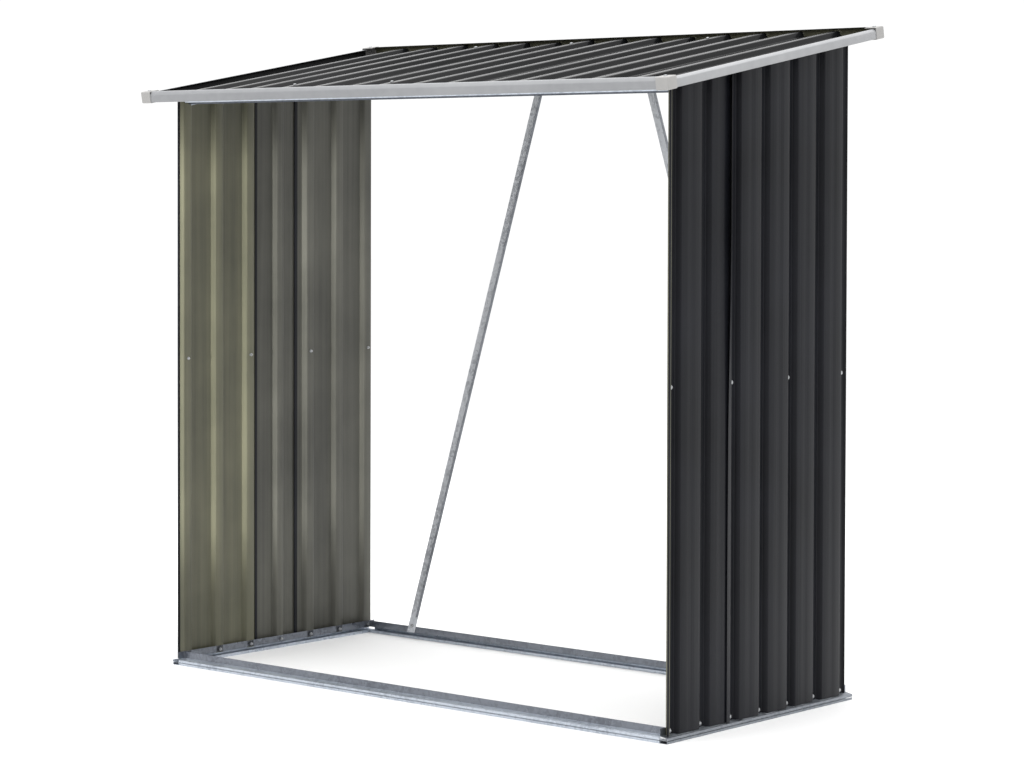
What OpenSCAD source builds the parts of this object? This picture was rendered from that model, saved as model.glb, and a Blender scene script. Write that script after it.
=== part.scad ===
// Log store with an open front and back: a base frame of rolled rails, two side walls of
// ribbed sheet, and a single-pitch ribbed roof with edge trims, corner caps and two rear braces.
// Lengths are in millimetres. The front faces -Y. Z = 0 is the ground under the base rails.

/* [Base frame] */
// Width over the outer edges of the two side rails
base_w = 1630; // [1200:10:2200]
// Depth from the front rail's outer edge to the rear rail's outer edge
base_d = 750; // [600:10:1000]
// Height of the rail's outward-facing channel
rail_h = 16; // [9:1:20]
// Height of the rail's upright flange
rail_flange_h = 34; // [24:1:44]
// Thickness of the rolled rail strip
rail_t = 1.2; // [0.8:0.1:1.6]
// Offset of the joint between the two rail halves from the middle, to the left
rail_joint = 42; // [0:1:120]

/* [Ribbed sheet] */
// Thickness of the sheet
sheet_t = 0.8; // [0.4:0.1:1]
// Depth of a wall groove
groove_depth = 14; // [8:1:18]
// Height of a roof rib
rib_height = 13; // [8:1:16]
// Width of a groove or rib where it leaves the flat
rib_mouth = 34; // [30:1:44]
// Width of a groove's floor or of a rib's top
rib_floor = 24; // [14:1:26]
// How far an under-lapping sheet lies behind the sheet that covers it
lap_offset = 2.2; // [1.6:0.1:3]
// Half the width of a side lap
lap_half = 33; // [26:1:40]

/* [Walls] */
// Distance between the outer faces of the two walls
wall_span = 1623.2; // [1192:0.1:2192]
// Distance from the base's middle to the walls' front edges
wall_front = 365; // [290:1:490]
// Distance from the base's middle to the walls' rear edges
wall_rear = 362; // [290:1:490]
// Distance between wall grooves
wall_pitch = 114.5; // [90:0.5:130]
// Distance of the middle groove behind the base's middle
wall_shift = 3; // [0:1:10]
// Width of the hem folded inward along the free edges of the front and rear wall sheets
wall_hem = 9; // [5:1:12]
// How far the rear wall sheet runs ahead of the groove that it laps
wall_lap_reach = 50; // [33:1:70]

/* [Roof] */
// Pitch of the roof, in degrees
roof_slope = 9.9; // [6:0.1:14]
// Height of the roof's lower front edge
eave_z = 1472; // [1300:1:1800]
// Width over the corner caps
roof_w = 1724; // [1300:1:2300]
// Overhang of the roof's front edge beyond the base, along the slope
roof_front = 448; // [420:1:600]
// Reach of the roof's rear edge from the base's middle, along the slope
roof_rear = 438; // [400:1:600]
// Number of roof ribs
roof_ribs = 14; // [8:2:20]
// Distance between roof ribs
roof_pitch = 111.4; // [90:0.1:130]

/* [Edge trim and caps] */
// Thickness of the trim strip
trim_t = 1; // [0.6:0.1:1.4]
// Height of the trim's upright face
trim_face = 19; // [14:1:26]
// Height of the sloped shoulder above the face
trim_shoulder = 9; // [5:1:12]
// Width of the trim's lower lip
trim_lip = 14; // [10:1:20]
// Length of a corner cap along each edge
cap_len = 34; // [30:1:60]
// Height of a corner cap
cap_h = 31; // [30:1:44]
// Wall thickness of a corner cap
cap_t = 2; // [1.5:0.1:3]

/* [Rear braces] */
// Width of the brace's flat leg
brace_w = 27; // [18:1:32]
// Depth of the brace's folded leg
brace_leg = 10; // [6:1:16]
// Distance of each brace's head from the point between them
brace_head = 160; // [80:1:300]
// Distance of each brace's foot from the point between them
brace_foot = 648; // [400:1:700]
// Distance of that point to the right of the base's middle
brace_shift = 13; // [0:1:30]

/* [Hidden] */

galvanised = "#aab2bc";
anthracite = "#33363a";
trim_silver = "#b9bcc0";
cap_grey = "#d2d2cf";

// Ribbed sheet: how far a bend moves along the sheet for each millimetre of offset
wall_bend = tan(atan2(groove_depth, (rib_mouth - rib_floor) / 2) / 2);
roof_bend = tan(atan2(rib_height, (rib_mouth - rib_floor) / 2) / 2);

// Walls
wall_x = wall_span / 2;
wall_inner_x = wall_x - lap_offset - groove_depth - sheet_t;
wall_clear = 2;
wall_stock_h = eave_z + 200;

// Base rails
side_rail_depth = base_w / 2 - wall_inner_x + rail_t;
flange_y = base_d / 2 - side_rail_depth + rail_t;
butt_gap = 0.2;
rail_joint_gap = 0.6;

// Roof levels, measured square to the roof from the caps' undersides
trim_low = 2;
trim_high = trim_low + trim_face + trim_shoulder;
trim_run = 7;
trim_top_lip = 7;
rib_below_trim = 5;
pan_level = trim_high - rib_below_trim - rib_height;
sheet_under = pan_level - lap_offset - sheet_t;
cap_proud = 2;
edge_x = roof_w / 2 - cap_proud;
edge_front = -roof_front + cap_proud;
edge_rear = roof_rear - cap_proud;
edge_clear = 5;
trim_stop = 22;

// Top rails
top_flange_w = 22;
top_web_low = -12;
rear_web_low = -22;
top_lip_w = 12;
front_web_u = -(flange_y + rail_t) / cos(roof_slope) + 1;
rear_web_u = flange_y / cos(roof_slope) - 2;

// Roof frame: its zero lies in the caps' underside plane above the base's middle
reach_front = roof_front * cos(roof_slope) + cap_h * sin(roof_slope);
reach_rear = roof_rear * cos(roof_slope);
mid_y = (reach_front - reach_rear) / 2;
roof_zero = eave_z + roof_front * sin(roof_slope);

// Braces
brace_low_z = rail_h + 1;
brace_high_z = roof_zero + rear_web_u * sin(roof_slope) - 10;

function reversed(list) = [for (i = [len(list) - 1 : -1 : 0]) list[i]];

// Line of a ribbed surface as [along, level] points, from start to stop past the given ribs.
// rise is the height of a rib, or less than zero for a groove. back is how far the line lies
// behind the sheet's outer face.
function rib_line(start, stop, ribs, rise, bend, back) =
    let (
        shift = rise > 0 ? -back * bend : back * bend,
        mouth = rib_mouth / 2 + shift,
        floor_half = rib_floor / 2 + shift
    )
    concat(
        [[start, -back]],
        [for (c = ribs) each [
            [c - mouth, -back], [c - floor_half, rise - back],
            [c + floor_half, rise - back], [c + mouth, -back]
        ]],
        [[stop, -back]]
    );

// Closed outline of a ribbed sheet whose outer face lies back behind the covering sheet's
function sheet_outline(start, stop, ribs, rise, bend, back) =
    concat(
        rib_line(start, stop, ribs, rise, bend, back),
        reversed(rib_line(start, stop, ribs, rise, bend, back + sheet_t))
    );

module sheet_section(start, stop, ribs, rise, bend, back) {
    polygon(sheet_outline(start, stop, ribs, rise, bend, back));
}

// Places children made in the roof frame: X across, Y up the slope, Z square to the roof
module on_roof() {
    translate([0, mid_y, roof_zero]) rotate([roof_slope, 0, 0]) children();
}

// Places children made about the base's middle
module on_base() {
    translate([0, mid_y, 0]) children();
}

// Runs an [X, Z] section along +Y from start to stop
module run_y(start, stop) {
    translate([0, stop, 0]) rotate([90, 0, 0]) linear_extrude(height = stop - start) children();
}

// Runs a [Y, Z] section along +X from start to stop
module run_x(start, stop) {
    translate([start, 0, 0]) rotate([90, 0, 90]) linear_extrude(height = stop - start) children();
}

// ---- Base frame ----

// Section of a base rail: the channel opens to the left and the flange stands at the right
module rail_section() {
    square([side_rail_depth, rail_t]);
    translate([0, rail_h - rail_t]) square([side_rail_depth, rail_t]);
    translate([side_rail_depth - rail_t, 0]) square([rail_t, rail_flange_h]);
}

module side_rail(side) {
    color(galvanised) on_base() scale([side, 1, 1])
        run_y(-base_d / 2, base_d / 2)
            translate([base_w / 2, 0]) mirror([1, 0]) rail_section();
}

module cross_rail(start, stop, side) {
    color(galvanised) on_base() mirror([0, side > 0 ? 1 : 0, 0])
        run_x(start, stop) translate([-base_d / 2, 0]) rail_section();
}

cross_end = wall_inner_x - rail_t - butt_gap;

module front_rail_left() cross_rail(-cross_end, -rail_joint - rail_joint_gap / 2, -1);
module front_rail_right() cross_rail(-rail_joint + rail_joint_gap / 2, cross_end, -1);
module rear_rail_left() cross_rail(-cross_end, -rail_joint - rail_joint_gap / 2, 1);
module rear_rail_right() cross_rail(-rail_joint + rail_joint_gap / 2, cross_end, 1);
module left_side_rail() side_rail(-1);
module right_side_rail() side_rail(1);

// ---- Walls ----

function wall_groove(i) = wall_shift + (i - 4) * wall_pitch;

lap_front = wall_groove(3);
lap_rear = wall_groove(5);

// A wall sheet stands on the side rail, and its head follows the roof's slope. hems lists
// where its inner face carries a folded hem, each by the hem's front edge.
module wall_sheet(side, start, stop, grooves, back, hems) {
    ribs = [for (g = grooves) wall_groove(g)];
    color(anthracite) intersection() {
        on_base() translate([side * wall_x, 0, rail_h]) scale([side, 1, 1])
            linear_extrude(height = wall_stock_h) {
                intersection() {
                    mirror([1, -1])
                        sheet_section(start, stop + rib_mouth, ribs, -groove_depth, wall_bend, back);
                    translate([-wall_x, start]) square([2 * wall_x, stop - start]);
                }
                for (edge = hems)
                    translate([-back - 2 * sheet_t, edge]) square([sheet_t, wall_hem]);
            }
        on_roof() translate([-roof_w, -2 * roof_front, -2 * eave_z])
            cube([2 * roof_w, 4 * roof_front, 2 * eave_z + sheet_under - wall_clear]);
    }
}

module wall_front_sheet(side) {
    stop = lap_front + lap_half;
    wall_sheet(side, -wall_front, stop, [1, 2, 3], lap_offset, [-wall_front, stop - wall_hem]);
}

module wall_middle_sheet(side) {
    wall_sheet(side, lap_front - lap_half, lap_rear + lap_half, [3, 4, 5], 0, []);
}

module wall_rear_sheet(side) {
    start = lap_rear - wall_lap_reach;
    wall_sheet(side, start, wall_rear, [5, 6, 7], lap_offset, [start]);
}

module left_wall_front_sheet() wall_front_sheet(-1);
module left_wall_middle_sheet() wall_middle_sheet(-1);
module left_wall_rear_sheet() wall_rear_sheet(-1);
module right_wall_front_sheet() wall_front_sheet(1);
module right_wall_middle_sheet() wall_middle_sheet(1);
module right_wall_rear_sheet() wall_rear_sheet(1);

// ---- Top rails ----

// The flange lies against the roof sheets and the web hangs from it
module front_top_rail() {
    color(galvanised) on_roof() run_x(-cross_end, cross_end) translate([front_web_u, 0]) {
        translate([0, top_web_low]) square([rail_t, sheet_under - top_web_low]);
        translate([0, sheet_under - rail_t]) square([top_flange_w, rail_t]);
        translate([0, top_web_low]) square([top_lip_w, rail_t]);
    }
}

module rear_top_rail() {
    color(galvanised) on_roof() run_x(-cross_end, cross_end) translate([rear_web_u, 0]) {
        translate([0, rear_web_low]) square([rail_t, sheet_under - rear_web_low]);
        translate([rail_t - top_flange_w, sheet_under - rail_t]) square([top_flange_w, rail_t]);
    }
}

module side_top_rail(side) {
    start = front_web_u + top_flange_w + butt_gap;
    stop = rear_web_u + rail_t - top_flange_w - butt_gap;
    color(galvanised) on_roof() scale([side, 1, 1]) run_y(start, stop) {
        translate([wall_inner_x - rail_t, rear_web_low])
            square([rail_t, sheet_under - rear_web_low]);
        translate([wall_inner_x - top_flange_w, sheet_under - rail_t])
            square([top_flange_w, rail_t]);
    }
}

module left_top_rail() side_top_rail(-1);
module right_top_rail() side_top_rail(1);

// ---- Roof sheets ----

function roof_rib(i) = (i - (roof_ribs + 1) / 2) * roof_pitch;

// Sheet i carries ribs 2i-1, 2i and 2i+1, and laps its neighbours over the outer two.
// The even sheets lie on top.
module roof_sheet(i) {
    first = i == 1;
    last = i == roof_ribs / 2;
    ribs = [for (r = [2 * i - 1 : min(2 * i + 1, roof_ribs)]) roof_rib(r)];
    start = first ? -edge_x + edge_clear : roof_rib(2 * i - 1) - lap_half;
    stop = last ? edge_x - edge_clear : roof_rib(2 * i + 1) + lap_half;
    back = i % 2 == 0 ? 0 : lap_offset;
    color(anthracite) on_roof() run_y(edge_front + edge_clear, edge_rear - edge_clear)
        translate([0, pan_level])
            sheet_section(start, stop, ribs, rib_height, roof_bend, back);
}

module roof_sheet_1() roof_sheet(1);
module roof_sheet_2() roof_sheet(2);
module roof_sheet_3() roof_sheet(3);
module roof_sheet_4() roof_sheet(4);
module roof_sheet_5() roof_sheet(5);
module roof_sheet_6() roof_sheet(6);
module roof_sheet_7() roof_sheet(7);

// ---- Edge trims and corner caps ----

// Line of the trim's strip as [inward, level] points, back behind its outer face
function trim_line(back) =
    let (bend = back * tan(atan2(trim_run, trim_shoulder) / 2),
        crown = back * tan(atan2(trim_shoulder, trim_run) / 2))
    [
        [trim_lip, trim_low + back], [back, trim_low + back],
        [back, trim_low + trim_face - bend], [trim_run + crown, trim_high - back],
        [trim_run + trim_top_lip, trim_high - back]
    ];

module trim_section() {
    polygon(concat(trim_line(0), reversed(trim_line(trim_t))));
}

module cross_trim(edge, facing, tint) {
    color(tint) on_roof() translate([0, edge, 0]) mirror([0, facing, 0])
        run_x(-edge_x + trim_stop, edge_x - trim_stop) trim_section();
}

module side_trim(side) {
    color(trim_silver) on_roof() scale([side, 1, 1])
        run_y(edge_front + trim_stop, edge_rear - trim_stop)
            translate([edge_x, 0]) mirror([1, 0]) trim_section();
}

module front_trim() cross_trim(edge_front, 0, trim_silver);
module rear_trim() cross_trim(edge_rear, 1, anthracite);
module left_trim() side_trim(-1);
module right_trim() side_trim(1);

// A moulded cap closes the corner outside the trims and is open towards the roof
module corner_cap(side, end) {
    reach = end < 0 ? roof_front : roof_rear;
    color(cap_grey) on_roof() scale([side, end, 1])
        translate([roof_w / 2 - cap_len, reach - cap_len, 0])
            difference() {
                cube([cap_len, cap_len, cap_h]);
                translate([-cap_t, -cap_t, cap_t]) cube([cap_len, cap_len, cap_h - 2 * cap_t]);
            }
}

module front_left_cap() corner_cap(-1, -1);
module front_right_cap() corner_cap(1, -1);
module rear_left_cap() corner_cap(-1, 1);
module rear_right_cap() corner_cap(1, 1);

// ---- Rear braces ----

// An angle strip that leans from the top rail down to the base rail, its folded leg on the
// right and pointing to the front
module brace(side) {
    rise = brace_high_z - brace_low_z;
    spread = side * (brace_foot - brace_head);
    lean = atan2(spread, rise);
    color(galvanised) on_base() intersection() {
        translate([brace_shift + side * brace_foot, flange_y - rail_t, brace_low_z])
            rotate([0, -lean, 0]) translate([-brace_w / 2, 0, -brace_w]) {
                translate([0, -rail_t, 0])
                    cube([brace_w, rail_t, norm([rise, spread]) + 2 * brace_w]);
                translate([brace_w - rail_t, -brace_leg, 0])
                    cube([rail_t, brace_leg, norm([rise, spread]) + 2 * brace_w]);
            }
        translate([-base_w / 2, -base_d / 2, brace_low_z]) cube([base_w, base_d, rise]);
    }
}

module left_brace() brace(-1);
module right_brace() brace(1);

front_rail_left();
front_rail_right();
rear_rail_left();
rear_rail_right();
left_side_rail();
right_side_rail();
left_wall_front_sheet();
left_wall_middle_sheet();
left_wall_rear_sheet();
right_wall_front_sheet();
right_wall_middle_sheet();
right_wall_rear_sheet();
front_top_rail();
rear_top_rail();
left_top_rail();
right_top_rail();
roof_sheet_1();
roof_sheet_2();
roof_sheet_3();
roof_sheet_4();
roof_sheet_5();
roof_sheet_6();
roof_sheet_7();
front_trim();
rear_trim();
left_trim();
right_trim();
front_left_cap();
front_right_cap();
rear_left_cap();
rear_right_cap();
left_brace();
right_brace();
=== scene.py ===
from math import atan2, cos, pi, radians, sin, tan

import bmesh
import bpy
from mathutils import Matrix, Vector


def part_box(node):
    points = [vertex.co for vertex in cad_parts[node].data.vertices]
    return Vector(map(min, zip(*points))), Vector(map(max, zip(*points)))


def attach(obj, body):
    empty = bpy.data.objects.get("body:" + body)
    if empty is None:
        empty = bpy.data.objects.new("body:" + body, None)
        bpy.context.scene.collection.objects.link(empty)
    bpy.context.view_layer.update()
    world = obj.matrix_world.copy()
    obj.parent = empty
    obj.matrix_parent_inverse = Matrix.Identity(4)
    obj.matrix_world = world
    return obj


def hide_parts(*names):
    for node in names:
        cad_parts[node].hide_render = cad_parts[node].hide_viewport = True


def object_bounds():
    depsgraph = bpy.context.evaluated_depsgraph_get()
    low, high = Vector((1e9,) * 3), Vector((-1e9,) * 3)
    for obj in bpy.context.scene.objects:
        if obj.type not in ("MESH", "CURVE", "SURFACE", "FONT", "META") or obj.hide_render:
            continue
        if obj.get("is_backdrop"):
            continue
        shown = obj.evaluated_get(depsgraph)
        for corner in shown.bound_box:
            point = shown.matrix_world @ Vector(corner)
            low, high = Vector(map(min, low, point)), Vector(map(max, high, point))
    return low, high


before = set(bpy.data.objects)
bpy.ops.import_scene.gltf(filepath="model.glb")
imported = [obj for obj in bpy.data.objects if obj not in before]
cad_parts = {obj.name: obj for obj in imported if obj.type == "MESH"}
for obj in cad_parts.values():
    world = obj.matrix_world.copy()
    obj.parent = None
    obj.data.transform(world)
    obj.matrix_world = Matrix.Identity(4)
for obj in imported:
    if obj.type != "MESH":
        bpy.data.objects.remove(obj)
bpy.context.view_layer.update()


# ---- Base rails ----
# Two side rails and a front and a rear rail in two lengths each, roll-formed from galvanised
# strip: a flat nose over an outward-facing channel, and an upright flange that the walls are
# screwed to. The side rails run the full depth, and the others butt between them.

def galvanised_coat(name, flake, light, dark, gloss, metal=0.8):
    """Zinc coat whose crystals are flake metres across and differ in tint and gloss. metal is
    how far it mirrors like bare metal."""
    coat = bpy.data.materials.new(name)
    coat.use_nodes = True
    tree = coat.node_tree
    shader = tree.nodes["Principled BSDF"]
    place = tree.nodes.new("ShaderNodeTexCoord")
    crystals = tree.nodes.new("ShaderNodeTexVoronoi")
    crystals.inputs["Scale"].default_value = 1 / flake
    crystals.inputs["Randomness"].default_value = 1.0
    wobble = tree.nodes.new("ShaderNodeTexNoise")
    wobble.inputs["Scale"].default_value = 0.6 / flake
    wobble.inputs["Detail"].default_value = 4.0
    bend = tree.nodes.new("ShaderNodeMixRGB")
    bend.blend_type = "ADD"
    bend.inputs["Fac"].default_value = 0.012
    split = tree.nodes.new("ShaderNodeSeparateColor")
    cloud = tree.nodes.new("ShaderNodeTexNoise")
    cloud.inputs["Scale"].default_value = 7.0
    cloud.inputs["Detail"].default_value = 5.0
    blend = tree.nodes.new("ShaderNodeMath")
    blend.operation = "MULTIPLY_ADD"
    blend.inputs[1].default_value = 0.55
    tint = tree.nodes.new("ShaderNodeValToRGB")
    tint.color_ramp.elements[0].position = 0.18
    tint.color_ramp.elements[0].color = (*dark, 1)
    tint.color_ramp.elements[1].position = 0.85
    tint.color_ramp.elements[1].color = (*light, 1)
    shine = tree.nodes.new("ShaderNodeMapRange")
    shine.inputs["To Min"].default_value = gloss - 0.09
    shine.inputs["To Max"].default_value = gloss + 0.13
    relief = tree.nodes.new("ShaderNodeBump")
    relief.inputs["Strength"].default_value = 0.16
    relief.inputs["Distance"].default_value = 0.0004
    link = tree.links.new
    link(place.outputs["Object"], wobble.inputs["Vector"])
    link(place.outputs["Object"], bend.inputs["Color1"])
    link(wobble.outputs["Color"], bend.inputs["Color2"])
    link(bend.outputs["Color"], crystals.inputs["Vector"])
    link(place.outputs["Object"], cloud.inputs["Vector"])
    link(crystals.outputs["Color"], split.inputs["Color"])
    link(split.outputs["Red"], blend.inputs[0])
    link(cloud.outputs["Fac"], blend.inputs[2])
    link(blend.outputs["Value"], tint.inputs["Fac"])
    link(tint.outputs["Color"], shader.inputs["Base Color"])
    link(split.outputs["Green"], shine.inputs["Value"])
    link(shine.outputs["Result"], shader.inputs["Roughness"])
    link(split.outputs["Blue"], relief.inputs["Height"])
    link(relief.outputs["Normal"], shader.inputs["Normal"])
    shader.inputs["Metallic"].default_value = metal
    return coat


def folded_strip(name, start, run, folds, thickness, bend_radius, coats, hinge=None):
    """A strip folded along its length. start is one end of its first free edge, run goes
    along that edge, and folds are the steps from fold line to fold line. The strip's face
    looks towards run x fold, and its thickness lies behind that face."""
    bpy.ops.object.select_all(action="DESELECT")
    along, across = run.normalized(), folds[0].normalized()
    turn = Matrix((along, across, along.cross(across))).transposed()
    bpy.ops.mesh.primitive_plane_add(
        size=1, location=start + (run + folds[0]) / 2, rotation=turn.to_euler())
    strip = bpy.context.object
    strip.name = name
    strip.data.name = name
    strip.scale = (run.length, folds[0].length, 1)
    bpy.ops.object.transform_apply(location=True, rotation=True, scale=True)
    bpy.ops.object.mode_set(mode="EDIT")
    bpy.ops.mesh.select_mode(type="EDGE")
    bpy.ops.mesh.select_all(action="DESELECT")
    shape = bmesh.from_edit_mesh(strip.data)
    middle = start + run / 2 + folds[0]
    far_edge = min(shape.edges, key=lambda e: ((e.verts[0].co + e.verts[1].co) / 2 - middle).length)
    far_edge.select_set(True)
    bmesh.update_edit_mesh(strip.data)
    for fold in folds[1:]:
        bpy.ops.mesh.extrude_region_move(TRANSFORM_OT_translate={"value": fold})
    if hinge:
        hinge(strip)
    bpy.ops.mesh.select_all(action="DESELECT")
    bpy.ops.mesh.edges_select_sharp(sharpness=radians(25))
    bpy.ops.mesh.bevel(offset=bend_radius, offset_type="OFFSET", segments=3, affect="EDGES",
                       clamp_overlap=True)
    bpy.ops.object.mode_set(mode="OBJECT")
    for coat in coats:
        strip.data.materials.append(coat)
    wall = strip.modifiers.new("wall", "SOLIDIFY")
    wall.thickness = thickness
    wall.offset = -1
    wall.use_even_offset = True
    wall.material_offset = len(coats) - 1
    wall.material_offset_rim = 0
    bpy.ops.object.modifier_apply(modifier="wall")
    bpy.ops.object.shade_smooth_by_angle(angle=radians(32))
    return strip


def recoat(piece, coat, chosen):
    """Gives a second coat to the faces whose middle passes the chosen test."""
    piece.data.materials.append(coat)
    for face in piece.data.polygons:
        if chosen(face.center):
            face.material_index = 1


def put(piece, slot_name, *nodes):
    """Hands a finished piece over to the frame, in place of the CAD nodes named."""
    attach(piece, "root")
    if nodes:
        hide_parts(*nodes)


zinc = galvanised_coat("rail_zinc", 0.007, (0.54, 0.585, 0.65), (0.30, 0.335, 0.39), 0.38)
# A darker copy of the rail zinc for the upright flanges: painted shade.
flange_shade_zinc = galvanised_coat(
    "flange_shade_zinc", 0.007, (0.19, 0.205, 0.235), (0.10, 0.11, 0.13), 0.36)
# A darker copy of the rail zinc for the right side rail only: painted shade.
right_side_shade_zinc = galvanised_coat(
    "side_rail_shade_zinc", 0.007, (0.27, 0.29, 0.32), (0.14, 0.155, 0.18), 0.40)
strip_gauge = 0.0007
rail_bend = 0.0008
web_back = 0.0012
shelf_level = 0.0165
nose_level = 0.0124
nose_height = 0.0048
lip_height = 0.0058


def rail_folds(rail, out):
    """Steps of a base rail's section, from the top of its upright flange down, through the
    nose and the channel, to the lower lip. out points to the rail's open side."""
    low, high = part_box(rail)
    depth = abs((high - low).dot(out)) - web_back
    up = Vector((0, 0, 1))
    return [
        -up * (high.z - shelf_level), out * depth - up * (shelf_level - nose_level), -up * nose_height,
        -out * depth, -up * (nose_level - nose_height), out * depth, up * lip_height,
    ]


for rail, out, run_axis in [
    ("front_rail_left", (0, -1, 0), 1), ("front_rail_right", (0, -1, 0), 1),
    ("rear_rail_left", (0, 1, 0), -1), ("rear_rail_right", (0, 1, 0), -1),
    ("left_side_rail", (-1, 0, 0), -1), ("right_side_rail", (1, 0, 0), 1),
]:
    out = Vector(out)
    low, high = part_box(rail)
    across_x = abs(out.x) > 0.5
    length = (high.y - low.y) if across_x else (high.x - low.x)
    run = Vector((0, run_axis * length, 0)) if across_x else Vector((run_axis * length, 0, 0))
    start = Vector((low.x if run_axis > 0 else high.x, low.y if run_axis > 0 else high.y, high.z))
    if across_x:
        start.x = (low.x if out.x > 0 else high.x) + out.x * web_back
    else:
        start.y = (low.y if out.y > 0 else high.y) + out.y * web_back
    # The right side rail gets the darker zinc copy as painted shade; the other rails get the rail
    # zinc.
    piece = folded_strip(rail + "_rolled", start, run, rail_folds(rail, out), strip_gauge,
                         rail_bend, [right_side_shade_zinc if out.x > 0 else zinc])
    # The upright flange takes the darker zinc copy as painted shade.
    recoat(piece, flange_shade_zinc, lambda centre: centre.z > shelf_level)
    put(piece, "galvanised_strip", rail)


# ---- Side walls ----
# Each wall is three ribbed sheets of coil-coated steel, satin anthracite outside and olive
# grey inside. The middle sheet laps the other two from outside over a groove, and the free
# edges of the front and rear sheets are hemmed, which shows their outer coat on the inside.

def paint_coat(name, light, dark, gloss, grain, sheen, ripple=0.0):
    """Roll-coated paint. grain is how many streaks a metre it has along X, Y and Z, and
    ripple is how high they stand."""
    coat = bpy.data.materials.new(name)
    coat.use_nodes = True
    tree = coat.node_tree
    shader = tree.nodes["Principled BSDF"]
    place = tree.nodes.new("ShaderNodeTexCoord")
    drawn = tree.nodes.new("ShaderNodeMapping")
    drawn.inputs["Scale"].default_value = grain
    streaks = tree.nodes.new("ShaderNodeTexNoise")
    streaks.inputs["Scale"].default_value = 1.0
    streaks.inputs["Detail"].default_value = 3.0
    cloud = tree.nodes.new("ShaderNodeTexNoise")
    cloud.inputs["Scale"].default_value = 3.5
    cloud.inputs["Detail"].default_value = 4.0
    blend = tree.nodes.new("ShaderNodeMath")
    blend.operation = "MULTIPLY_ADD"
    blend.inputs[1].default_value = 0.5
    tint = tree.nodes.new("ShaderNodeValToRGB")
    tint.color_ramp.elements[0].position = 0.5
    tint.color_ramp.elements[0].color = (*dark, 1)
    tint.color_ramp.elements[1].position = 1.0
    tint.color_ramp.elements[1].color = (*light, 1)
    shine = tree.nodes.new("ShaderNodeMapRange")
    shine.inputs["From Min"].default_value = 0.5
    shine.inputs["To Min"].default_value = gloss - 0.05
    shine.inputs["To Max"].default_value = gloss + 0.07
    orange_peel = tree.nodes.new("ShaderNodeTexNoise")
    orange_peel.inputs["Scale"].default_value = 700.0
    orange_peel.inputs["Detail"].default_value = 2.0
    relief = tree.nodes.new("ShaderNodeBump")
    relief.inputs["Strength"].default_value = 0.06
    relief.inputs["Distance"].default_value = 0.0003
    drawn_relief = tree.nodes.new("ShaderNodeBump")
    drawn_relief.inputs["Strength"].default_value = 1.0
    drawn_relief.inputs["Distance"].default_value = ripple
    shader.inputs["Specular IOR Level"].default_value = sheen
    link = tree.links.new
    link(place.outputs["Object"], drawn.inputs["Vector"])
    link(drawn.outputs["Vector"], streaks.inputs["Vector"])
    link(place.outputs["Object"], cloud.inputs["Vector"])
    link(place.outputs["Object"], orange_peel.inputs["Vector"])
    link(streaks.outputs["Fac"], blend.inputs[0])
    link(cloud.outputs["Fac"], blend.inputs[2])
    link(blend.outputs["Value"], tint.inputs["Fac"])
    link(tint.outputs["Color"], shader.inputs["Base Color"])
    link(blend.outputs["Value"], shine.inputs["Value"])
    link(shine.outputs["Result"], shader.inputs["Roughness"])
    link(streaks.outputs["Fac"], drawn_relief.inputs["Height"])
    link(drawn_relief.outputs["Normal"], relief.inputs["Normal"])
    link(orange_peel.outputs["Fac"], relief.inputs["Height"])
    link(relief.outputs["Normal"], shader.inputs["Normal"])
    return coat


slope = radians(9.9)
up_roof = Vector((0, -sin(slope), cos(slope)))
up_slope = Vector((0, cos(slope), sin(slope)))
cap_height = 0.031
lowest_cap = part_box("front_left_cap")[0]
eave = Vector((0, lowest_cap.y + cap_height * sin(slope), lowest_cap.z))


def on_roof(x, along, height):
    """A point of the roof: along is up the slope from the caps' front, and height is square
    to the slope from the caps' undersides."""
    return eave + Vector((x, 0, 0)) + up_slope * along + up_roof * height


def along_at(y, height):
    """How far up the slope the roof has the given Y at the given height."""
    return (y - eave.y + height * sin(slope)) / cos(slope)


sheet_gauge = 0.0008
sheet_bend = 0.0021
rib_mouth = 0.034
rib_floor = 0.024
lap_offset = 0.0022
groove_depth = 0.014
groove_pitch = 0.1145
groove_count = 7
sheet_head = 0.007
hem_width = 0.010
hem_gap = 0.0034
lap_tail = 0.004
bead_half = 0.006
bead_rise = 0.0005
bead_shares = (0.32, 0.68)
beaded_flat = 8 * bead_half
anthracite = paint_coat("wall_anthracite", (0.0105, 0.0112, 0.0150), (0.0040, 0.0044, 0.0060),
                        0.34, (150, 150, 1.2), 0.15, 0.00025)
olive = paint_coat("front_backing_coat", (0.135, 0.132, 0.088), (0.064, 0.064, 0.044),
                   0.33, (90, 90, 1.5), 0.3, 0.00025)
olive_grey = paint_coat("backing_coat", (0.100, 0.099, 0.083), (0.045, 0.045, 0.038),
                        0.33, (90, 90, 1.5), 0.3, 0.00025)


def groove_places(wall):
    """Y of each groove of a wall, from front to rear."""
    middle = sum(corner.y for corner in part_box(wall + "_middle_sheet")) / 2
    return [middle + groove_pitch * (i - (groove_count - 1) / 2) for i in range(groove_count)]


def outer_face(wall):
    """How far out from the store's middle a wall's covering sheet stands."""
    return max(abs(corner.x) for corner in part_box(wall + "_middle_sheet"))


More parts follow.
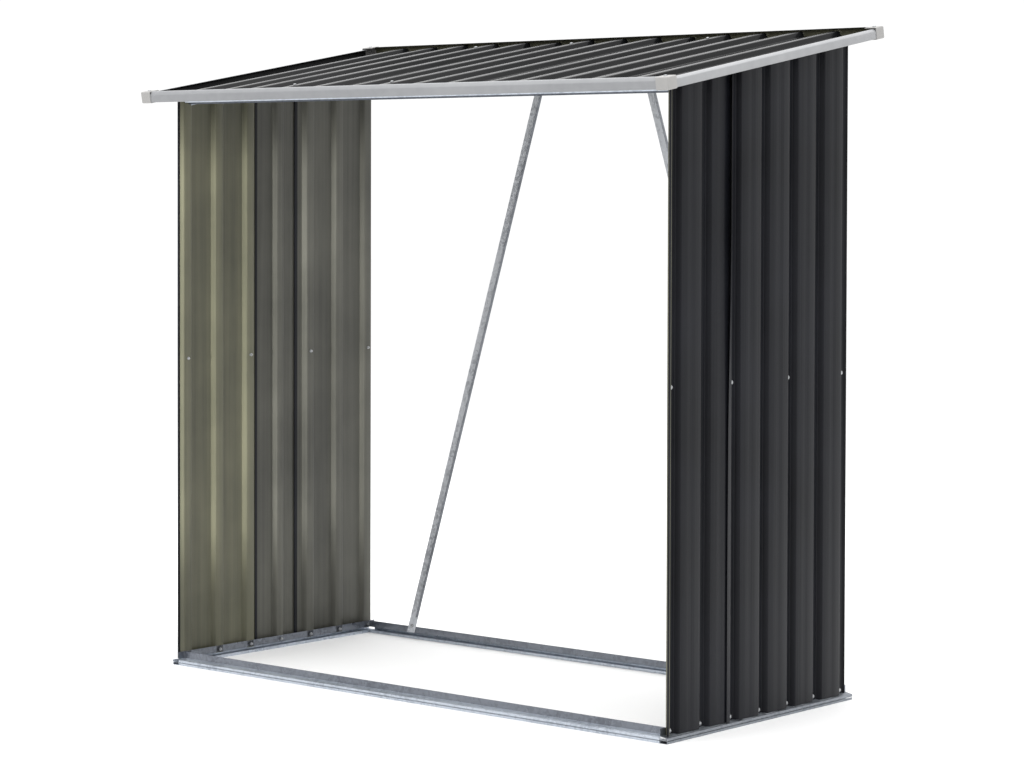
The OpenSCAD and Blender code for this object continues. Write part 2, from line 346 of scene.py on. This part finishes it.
def rib_steps(start, stop, ribs, rise, setback):
    """Line of a ribbed sheet as (along, level) points, with two low beads in each flat.
    setback is how far it lies behind the sheet that covers it."""
    bend = tan(atan2(abs(rise), (rib_mouth - rib_floor) / 2) / 2)
    shift = setback * bend * (1 if rise < 0 else -1)
    mouth, top = rib_mouth / 2 + shift, rib_floor / 2 + shift
    level = -setback
    line = [(start, level)]
    flats = [start] + [c + s * mouth for c in ribs for s in (-1, 1)] + [stop]
    for number, centre in enumerate(ribs + [None]):
        left, right = flats[2 * number], flats[2 * number + 1]
        if right - left > beaded_flat:
            for share in bead_shares:
                bead = left + (right - left) * share
                line += [(bead - bead_half, level), (bead, level + bead_rise),
                         (bead + bead_half, level)]
        if centre is not None:
            line += [(centre - mouth, level), (centre - top, level + rise),
                     (centre + top, level + rise), (centre + mouth, level)]
    return line + [(stop, level)]


def hem_line(edge, level, direction):
    """Points of a hem that ends at a sheet's free edge, from its tail to the edge. direction
    is +1 where the sheet runs on past the edge and -1 where it ends there."""
    turns = 8
    middle = level - hem_gap / 2
    tail = [(edge + direction * hem_width, level - hem_gap)]
    for step in range(turns + 1):
        angle = pi * step / turns
        tail.append((edge + direction * hem_gap / 2 * (1 - sin(angle)),
                     middle - hem_gap / 2 * cos(angle)))
    return tail


def wall_steps(line, side):
    """Steps between the points of a wall's plan line, with level measured outwards."""
    points = [Vector((side * level, along, 0)) for along, level in line]
    return [b - a for a, b in zip(points, points[1:])]


def cut_head(sheet):
    """Cuts a wall sheet's head along the roof."""
    bpy.ops.mesh.select_all(action="SELECT")
    bpy.ops.mesh.bisect(plane_co=on_roof(0, 0, sheet_head), plane_no=up_roof, clear_outer=True)


def lift_free_edge(side):
    """The covering sheet springs away from the wall along its front edge, most at its head."""
    levels = [0.35, 0.7, 0.85, 1.0, 1.15, 1.3]
    spring_from, spring_to = 0.55, 1.20
    least, most = 0.0012, 0.0095
    near = 0.0001

    def bow(sheet):
        for level in levels:
            bpy.ops.mesh.select_all(action="SELECT")
            bpy.ops.mesh.bisect(plane_co=(0, 0, level), plane_no=(0, 0, 1))
        cut_head(sheet)
        shape = bmesh.from_edit_mesh(sheet.data)
        front = min(v.co.y for v in shape.verts)
        for level in {round(v.co.z, 4) for v in shape.verts if v.co.y < front + near}:
            bpy.ops.mesh.select_all(action="DESELECT")
            shape = bmesh.from_edit_mesh(sheet.data)
            for v in shape.verts:
                if v.co.y < front + near and abs(v.co.z - level) < near:
                    v.select_set(True)
            shape.select_flush(True)
            bmesh.update_edit_mesh(sheet.data)
            share = min(1, max(0, (level - spring_from) / (spring_to - spring_from)))
            lift = least + (most - least) * share * share * (3 - 2 * share)
            bpy.ops.transform.translate(value=(side * lift, 0, 0))
    return bow


for side, wall in ((-1, "left_wall"), (1, "right_wall")):
    grooves = groove_places(wall)
    for part, held, setback, lining in (
        ("front", grooves[:3], lap_offset, olive), ("middle", grooves[2:5], 0, olive_grey),
        ("rear", grooves[4:], lap_offset, olive_grey),
    ):
        node = f"{wall}_{part}_sheet"
        low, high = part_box(node)
        line = rib_steps(low.y, high.y + (rib_mouth if part == "rear" else 0), held,
                         -groove_depth, setback)
        if part != "middle":
            line = hem_line(low.y, -setback, 1) + line[1:]
        if part == "front":
            line = line[:-1] + hem_line(high.y + lap_tail, -setback, -1)[::-1]
        height = high.z - low.z + 0.02
        start = Vector((side * (outer_face(wall) + line[0][1]), line[0][0],
                        low.z if side < 0 else low.z + height))
        run = Vector((0, 0, -side * height))
        shaping = lift_free_edge(side) if part == "middle" else cut_head
        sheet = folded_strip(node + "_folded", start, run, wall_steps(line, side), sheet_gauge,
                             sheet_bend, [anthracite, lining], shaping)
        if part == "rear":
            bpy.ops.object.mode_set(mode="EDIT")
            bpy.ops.mesh.select_all(action="SELECT")
            bpy.ops.mesh.bisect(plane_co=high, plane_no=(0, 1, 0), clear_outer=True, use_fill=True)
            bpy.ops.object.mode_set(mode="OBJECT")
        put(sheet, "anthracite_sheet", node)


# ---- Top rails ----
# Four angles of galvanised strip under the roof. Their flanges carry the roof sheets, and the
# walls and the braces are screwed to their webs. The front one also has a lower lip, with a
# short return that hangs from the lip's back edge.
top_web_high = 0.009
top_flange = 0.022
lip_return = 0.006
# A dark copy of the zinc for the front lip's return, which shows as a dark line under the front trim:
# painted shade.
return_shade_zinc = galvanised_coat("lip_shade_zinc", 0.007, (0.10, 0.11, 0.13), (0.05, 0.055, 0.065), 0.40)
for rail, outward, web_low, lip in (
    ("front_top_rail", -up_slope, -0.012, 0.012), ("rear_top_rail", up_slope, -0.022, 0),
    ("left_top_rail", Vector((-1, 0, 0)), -0.022, 0), ("right_top_rail", Vector((1, 0, 0)), -0.022, 0),
):
    low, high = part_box(rail)
    direction = up_roof.cross(outward)
    if abs(outward.x) > 0.5:
        near, far = along_at(low.y, top_web_high), along_at(high.y, web_low)
        length = far - near
        start = on_roof(high.x if outward.x > 0 else low.x, near if outward.x > 0 else far, web_low)
    else:
        length = high.x - low.x
        web_along = along_at(low.y, top_web_high) if lip else along_at(high.y, web_low)
        start = on_roof(low.x if direction.x > 0 else high.x, web_along, web_low)
    steps = [up_roof * (top_web_high - web_low), -outward * top_flange]
    if lip:
        start = start - outward * lip - up_roof * lip_return
        steps = [up_roof * lip_return, outward * lip] + steps
    angle = folded_strip(rail + "_rolled", start, direction * length, steps, strip_gauge,
                         rail_bend, [zinc])
    web_foot = on_roof(0, 0, web_low - strip_gauge / 2)
    # Faces below the web's foot take the dark zinc copy as painted shade.
    recoat(angle, return_shade_zinc, lambda centre: (centre - web_foot).dot(up_roof) < 0)
    put(angle, "galvanised_strip", rail)


# ---- Roof sheets ----
# Seven ribbed sheets of the same coated steel, ribs upwards. Each carries three ribs, and the
# last one two. They lap over the outer ribs, and the even sheets lie on top.
roof_anthracite = paint_coat("roof_anthracite", (0.0085, 0.0088, 0.0098), (0.0040, 0.0043, 0.0048),
                             0.20, (150, 1.2, 1.2), 0.14)
roof_backing = paint_coat("roof_backing_coat", (0.135, 0.138, 0.120), (0.090, 0.092, 0.080),
                          0.42, (90, 1.5, 1.5), 0.3)
rib_count = 14
rib_pitch = 0.1114
rib_height = 0.013
pan_height = 0.012
sheet_count = 7


def rib_x(number):
    """X of a roof rib, counted from the left."""
    return (number - (rib_count + 1) / 2) * rib_pitch


for number in range(1, sheet_count + 1):
    node = f"roof_sheet_{number}"
    low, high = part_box(node)
    ribs = [rib_x(i) for i in range(2 * number - 1, min(2 * number + 1, rib_count) + 1)]
    setback = lap_offset if number % 2 else 0
    line = rib_steps(low.x, high.x, ribs, rib_height, setback)
    steps = [Vector((b[0] - a[0], 0, 0)) + up_roof * (b[1] - a[1]) for a, b in zip(line, line[1:])]
    near = along_at(low.y, pan_height + rib_height - setback)
    far = along_at(high.y, pan_height - setback - sheet_gauge)
    start = on_roof(line[0][0], far, pan_height + line[0][1])
    sheet = folded_strip(node + "_folded", start, up_slope * (near - far), steps,
                         sheet_gauge, sheet_bend, [roof_anthracite, roof_backing])
    put(sheet, "anthracite_sheet", node)


# ---- Edge trims ----
# Strips of coated steel that close the roof's edges: a lower lip, an upright face, a sloped
# shoulder, lower at the sides, and a top lip over the sheets. Three are silver and the rear
# one is anthracite.
trim_gauge = 0.0008
trim_bend = 0.0016
trim_low = 0.002
trim_face = 0.019
trim_shoulder = 0.009
side_shoulder = 0.005
trim_run = 0.007
trim_lip = 0.014
trim_top = 0.007
trim_gap = 0.022
silver = paint_coat(
    "trim_silver", (0.335, 0.34, 0.35), (0.275, 0.28, 0.29), 0.42, (40, 40, 40), 0.5)
# A darker copy of the trim silver for the front trim: painted shade.
front_shade_silver = paint_coat(
    "front_shade_silver", (0.275, 0.28, 0.29), (0.22, 0.225, 0.235), 0.42, (40, 40, 40), 0.5)
rear_paint = paint_coat("rear_trim_anthracite", (0.0125, 0.0130, 0.0145),
                        (0.0075, 0.0080, 0.0088), 0.36, (1.2, 150, 150), 0.25)
cap_proud = 0.002
half_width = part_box("front_right_cap")[1].x - cap_proud
front_along = cap_proud
rear_along = along_at(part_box("rear_right_cap")[1].y, 0) - cap_proud
for edge, run_to, inward, coats in (
    ("front_trim", Vector((1, 0, 0)), up_slope, [front_shade_silver, roof_backing]),
    ("rear_trim", Vector((-1, 0, 0)), -up_slope, [rear_paint, olive]),
    # The left trim's inside takes the dark anthracite coat in place of the backing coat: painted
    # shade.
    ("left_trim", -up_slope, Vector((1, 0, 0)), [silver, rear_paint]),
    ("right_trim", up_slope, Vector((-1, 0, 0)), [silver, roof_backing]),
):
    rise = trim_shoulder if abs(run_to.x) > 0.5 else side_shoulder
    if abs(run_to.x) > 0.5:
        length = 2 * (half_width - trim_gap)
        along = front_along if edge == "front_trim" else rear_along
        corner = on_roof(-run_to.x * length / 2, along, trim_low)
    else:
        length = rear_along - front_along - 2 * trim_gap
        first = front_along + trim_gap if edge == "right_trim" else rear_along - trim_gap
        corner = on_roof(-inward.x * half_width, first, trim_low)
    steps = [
        -inward * trim_lip, up_roof * trim_face, inward * trim_run + up_roof * rise,
        inward * trim_top,
    ]
    trim = folded_strip(edge + "_folded", corner + inward * trim_lip, run_to * length, steps,
                        trim_gauge, trim_bend, coats)
    put(trim, "anthracite_sheet" if edge == "rear_trim" else "silver_trim", edge)


# ---- Corner caps ----
# Four pale moulded caps that close the corners outside the trims. Each is a rounded shell,
# open towards the roof, held by one screw through its top.
cap_length = 0.034
cap_top = 0.0305
cap_shell = 0.002
cap_round = 0.0035
cap_coat = paint_coat(
    "cap_plastic", (0.355, 0.35, 0.344), (0.30, 0.295, 0.288), 0.48, (30, 30, 30), 0.5)
roof_reach = rear_along + cap_proud
cap_along = {"front": (0, cap_length), "rear": (roof_reach - cap_length, roof_reach)}
cap_tops = []
for end, side in (("front", -1), ("front", 1), ("rear", -1), ("rear", 1)):
    name = f"{end}_{'left' if side < 0 else 'right'}_cap"
    low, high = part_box(name)
    near, far = cap_along[end]
    middle = on_roof((low.x + high.x) / 2, (near + far) / 2, cap_top / 2)
    bpy.ops.object.select_all(action="DESELECT")
    bpy.ops.mesh.primitive_cube_add(size=1, location=middle, rotation=(slope, 0, 0))
    cap = bpy.context.object
    cap.name = name + "_moulded"
    cap.data.name = cap.name
    cap.scale = (cap_length, cap_length, cap_top)
    bpy.ops.object.transform_apply(location=True, rotation=True, scale=True)
    bpy.ops.object.mode_set(mode="EDIT")
    bpy.ops.mesh.select_mode(type="FACE")
    bpy.ops.mesh.select_all(action="DESELECT")
    inward_x = Vector((-side, 0, 0))
    inward_y = up_slope if end == "front" else -up_slope
    shape = bmesh.from_edit_mesh(cap.data)
    for face in shape.faces:
        if face.normal.dot(inward_x) > 0.9 or face.normal.dot(inward_y) > 0.9:
            face.select_set(True)
    bmesh.update_edit_mesh(cap.data)
    bpy.ops.mesh.delete(type="FACE")
    bpy.ops.mesh.select_all(action="DESELECT")
    bpy.ops.mesh.edges_select_sharp(sharpness=radians(40))
    bpy.ops.mesh.bevel(offset=cap_round, offset_type="OFFSET", segments=4, affect="EDGES",
                       clamp_overlap=True)
    bpy.ops.object.mode_set(mode="OBJECT")
    cap.data.materials.append(cap_coat)
    shell = cap.modifiers.new("shell", "SOLIDIFY")
    shell.thickness = cap_shell
    shell.offset = -1
    shell.use_even_offset = True
    bpy.ops.object.modifier_apply(modifier="shell")
    bpy.ops.object.shade_smooth_by_angle(angle=radians(32))
    put(cap, "cap_plastic", name)
    cap_tops.append(on_roof((low.x + high.x) / 2, (near + far) / 2, cap_top))


# ---- Rear braces ----
# Two angle strips with the folded leg on the right, cut level at both ends. The leg stops
# short of the ends, so that the flat leg can be bolted to the top rail and the base rail.
brace_width = 0.027
brace_leg = 0.010
brace_flat_end = 0.045
bolt_inset = 0.02
brace_zinc = galvanised_coat(
    "brace_zinc", 0.007, (0.64, 0.66, 0.70), (0.25, 0.265, 0.295), 0.42, metal=0.25)
# Darker copies of the brace zinc for the folded legs, the left one darker: painted shade.
left_leg_shade_zinc = galvanised_coat(
    "left_leg_shade_zinc", 0.008, (0.15, 0.16, 0.18), (0.07, 0.075, 0.085), 0.36)
right_leg_shade_zinc = galvanised_coat(
    "right_leg_shade_zinc", 0.008, (0.25, 0.265, 0.29), (0.12, 0.13, 0.145), 0.36)
brace_ends = []


def cut_brace(low_z, high_z, front_y):
    """Cuts the strip level at both ends and takes the folded leg away near them."""
    def cut(strip):
        for level, keep_above in ((low_z, True), (high_z, False)):
            bpy.ops.mesh.select_all(action="SELECT")
            bpy.ops.mesh.bisect(plane_co=(0, 0, level), plane_no=(0, 0, 1),
                                clear_inner=keep_above, clear_outer=not keep_above)
        for level in (low_z + brace_flat_end, high_z - brace_flat_end):
            bpy.ops.mesh.select_all(action="SELECT")
            bpy.ops.mesh.bisect(plane_co=(0, 0, level), plane_no=(0, 0, 1))
        bpy.ops.mesh.select_mode(type="FACE")
        bpy.ops.mesh.select_all(action="DESELECT")
        shape = bmesh.from_edit_mesh(strip.data)
        for face in shape.faces:
            middle = face.calc_center_median()
            at_end = not low_z + brace_flat_end < middle.z < high_z - brace_flat_end
            if middle.y < front_y - brace_leg / 4 and at_end:
                face.select_set(True)
        bmesh.update_edit_mesh(strip.data)
        bpy.ops.mesh.delete(type="FACE")
        bpy.ops.mesh.select_mode(type="EDGE")
    return cut


brace_spread = 0.488
for brace, side, leg_shade_zinc in (
    ("left_brace", -1, left_leg_shade_zinc), ("right_brace", 1, right_leg_shade_zinc),
):
    low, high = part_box(brace)
    lean = atan2(side * brace_spread, high.z - low.z)
    across = Vector((cos(lean), 0, sin(lean)))
    upward = Vector((-sin(lean), 0, cos(lean)))
    half_level = brace_width / 2 / cos(lean)
    foot = Vector((high.x - half_level if side > 0 else low.x + half_level, high.y, low.z))
    length = (high.z - low.z) / cos(lean)
    strip = folded_strip(
        brace + "_folded", foot - upward * brace_width - across * brace_width / 2,
        upward * (length + 2 * brace_width), [across * brace_width, Vector((0, -brace_leg, 0))],
        strip_gauge, rail_bend, [brace_zinc], cut_brace(low.z, high.z, high.y))
    flat_front = high.y - 2 * strip_gauge
    # The folded leg takes its darker zinc copy as painted shade.
    recoat(strip, leg_shade_zinc, lambda centre: centre.y < flat_front)
    put(strip, "galvanised_strip", brace)
    brace_ends += [foot + upward * bolt_inset, foot + upward * (length - bolt_inset)]


# ---- Screws ----
# Zinc-plated pan-head screws with washers, and hex nuts behind the walls and braces. They
# hold the walls to the base rails and to each other, the roof to the top rails, and the caps
# and braces.
screw_zinc = galvanised_coat("screw_zinc", 0.0015, (0.45, 0.46, 0.47), (0.26, 0.27, 0.28), 0.30)
washer_radius = 0.0050
washer_thickness = 0.0012
head_radius = 0.0042
head_height = 0.0026
nut_radius = 0.0042
nut_height = 0.0032
shank_radius = 0.0021
shank_end = 0.0065


def turned_part(sides, radius, height, spot, outward):
    """A round or hexagonal bar end that stands on spot and points outward."""
    bpy.ops.object.select_all(action="DESELECT")
    turn = outward.to_track_quat("Z", "Y").to_euler()
    bpy.ops.mesh.primitive_cylinder_add(
        vertices=sides, radius=radius, depth=height, location=spot + outward * height / 2,
        rotation=turn)
    part = bpy.context.object
    bpy.ops.object.transform_apply(location=True, rotation=True, scale=True)
    return part


def select_end(part, outward):
    """Selects the flat end that faces outward."""
    bpy.ops.mesh.select_mode(type="FACE")
    bpy.ops.mesh.select_all(action="DESELECT")
    shape = bmesh.from_edit_mesh(part.data)
    far_face = max(shape.faces, key=lambda f: f.calc_center_median().dot(outward))
    far_face.select_set(True)
    bmesh.update_edit_mesh(part.data)


def screw_row(name, spots, slot_name):
    """One piece from screws and nuts. Each spot is where the head seats, which way it faces,
    and how far behind it the nut seats (or None for no nut)."""
    parts = []
    for spot, outward, grip in spots:
        screw = turned_part(20, washer_radius, washer_thickness, spot, outward)
        bpy.ops.object.mode_set(mode="EDIT")
        select_end(screw, outward)
        bpy.ops.mesh.inset(thickness=washer_radius - head_radius)
        bpy.ops.mesh.extrude_region_move(TRANSFORM_OT_translate={"value": outward * head_height * 0.6})
        bpy.ops.mesh.inset(thickness=head_radius * 0.3, depth=head_height * 0.3)
        bpy.ops.mesh.inset(thickness=head_radius * 0.35, depth=head_height * 0.1)
        bpy.ops.object.mode_set(mode="OBJECT")
        parts.append(screw)
        if grip is not None:
            back = spot - outward * grip
            parts.append(turned_part(6, nut_radius, nut_height, back, -outward))
            parts.append(turned_part(10, shank_radius, shank_end, back, -outward))
    bpy.ops.object.select_all(action="DESELECT")
    for part in parts:
        part.select_set(True)
    bpy.context.view_layer.objects.active = parts[0]
    bpy.ops.object.join()
    row = bpy.context.object
    row.name = name
    row.data.name = name
    row.data.materials.clear()
    row.data.materials.append(screw_zinc)
    bpy.ops.object.shade_smooth_by_angle(angle=radians(38))
    put(row, slot_name)


foot_screw_level = 0.0245
middle_screw_level = 0.805
flange_gauge = 0.0012
for side, wall in ((-1, "left_wall"), (1, "right_wall")):
    outward = Vector((side, 0, 0))
    spots = []
    for number, y in enumerate(groove_places(wall), start=1):
        lapped = 0 if 3 <= number <= 5 else lap_offset
        seat = outer_face(wall) - groove_depth - lapped
        behind = sheet_gauge + lap_offset - lapped
        spots.append((Vector((side * seat, y, foot_screw_level)), outward, behind + flange_gauge))
        if number % 2:
            spots.append((Vector((side * seat, y, middle_screw_level)), outward, behind))
    screw_row(wall + "_screws", spots, "galvanised_strip")

roof_spots = []
for rail, ribs in (("front_top_rail", (4, 7)), ("rear_top_rail", (4, 7, 11))):
    low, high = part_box(rail)
    flange_along = (along_at(low.y, top_web_high) + top_flange / 3 if "front" in rail
                    else along_at(high.y, -top_flange) - top_flange / 3)
    for number in ribs:
        head_seat = on_roof(rib_x(number), flange_along, pan_height + rib_height)
        roof_spots.append((head_seat, up_roof, None))
screw_row("roof_screws", roof_spots, "galvanised_strip")
cap_dimple = 0.001
screw_row("cap_screws", [(spot - up_roof * cap_dimple, up_roof, None) for spot in cap_tops],
          "galvanised_strip")
facing_front = Vector((0, -1, 0))
brace_grip = strip_gauge + flange_gauge
screw_row("brace_bolts", [(spot + facing_front * strip_gauge, facing_front, brace_grip)
                          for spot in brace_ends], "galvanised_strip")


# ---- Camera, floor and light ----
# A long lens from the front right at about chest height, a plain pale floor, a large soft box
# overhead and a small gridded one in front that lights the left wall's inside.

lens_mm = 99.52
base_middle = sum(c.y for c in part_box("left_side_rail")) / 2
eye = Vector((4.6680, base_middle - 5.4449, 1.2581))
heading = 0.7053
tilt = -0.0263
roll = -0.0027
shift_up = -0.12
camera_data = bpy.data.cameras.new("camera")
camera_data.lens = lens_mm
camera_data.sensor_width = 36.0
camera_data.shift_y = shift_up
camera_data.clip_end = 200
camera = bpy.data.objects.new("camera", camera_data)
bpy.context.scene.collection.objects.link(camera)
camera.location = eye
camera.rotation_euler = (
    Matrix.Rotation(heading, 3, "Z") @ Matrix.Rotation(pi / 2 + tilt, 3, "X")
    @ Matrix.Rotation(-roll, 3, "Z")
).to_euler()
bpy.context.scene.camera = camera

bpy.ops.object.select_all(action="DESELECT")
bpy.ops.mesh.primitive_plane_add(size=60, location=(0, 0, 0))
floor = bpy.context.object
floor.name = "floor"
pale = bpy.data.materials.new("pale_floor")
pale.use_nodes = True
pale.node_tree.nodes["Principled BSDF"].inputs["Base Color"].default_value = (0.97, 0.97, 0.97, 1)
pale.node_tree.nodes["Principled BSDF"].inputs["Roughness"].default_value = 0.9
floor.data.materials.append(pale)
floor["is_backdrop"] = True

sky = bpy.data.worlds.new("studio")
sky.use_nodes = True
sky.node_tree.nodes["Background"].inputs["Color"].default_value = (1, 1, 1, 1)
sky.node_tree.nodes["Background"].inputs["Strength"].default_value = 1.05
bpy.context.scene.world = sky
bpy.context.scene.view_settings.view_transform = "Standard"
softbox_side = 7.0
softbox_height = 4.6
softbox_watts = 290
softbox_data = bpy.data.lights.new("softbox", "AREA")
softbox_data.shape = "SQUARE"
softbox_data.size = softbox_side
softbox_data.energy = softbox_watts
softbox = bpy.data.objects.new("softbox", softbox_data)
softbox.location = (0, -0.6, softbox_height)
softbox.visible_camera = False
bpy.context.scene.collection.objects.link(softbox)
grid_width = 0.2
grid_height = 1.1
grid_spread = radians(7)
grid_turn = radians(10)
grid_watts = 1.5
grid_data = bpy.data.lights.new("gridded_softbox", "AREA")
grid_data.shape = "RECTANGLE"
grid_data.size = grid_width
grid_data.size_y = grid_height
grid_data.spread = grid_spread
grid_data.energy = grid_watts
grid_light = bpy.data.objects.new("gridded_softbox", grid_data)
grid_light.location = (-0.35, -2.6, 0.83)
grid_light.rotation_euler = (pi / 2, 0, grid_turn)
grid_light.visible_camera = False
grid_light.visible_glossy = False
bpy.context.scene.collection.objects.link(grid_light)

low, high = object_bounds()
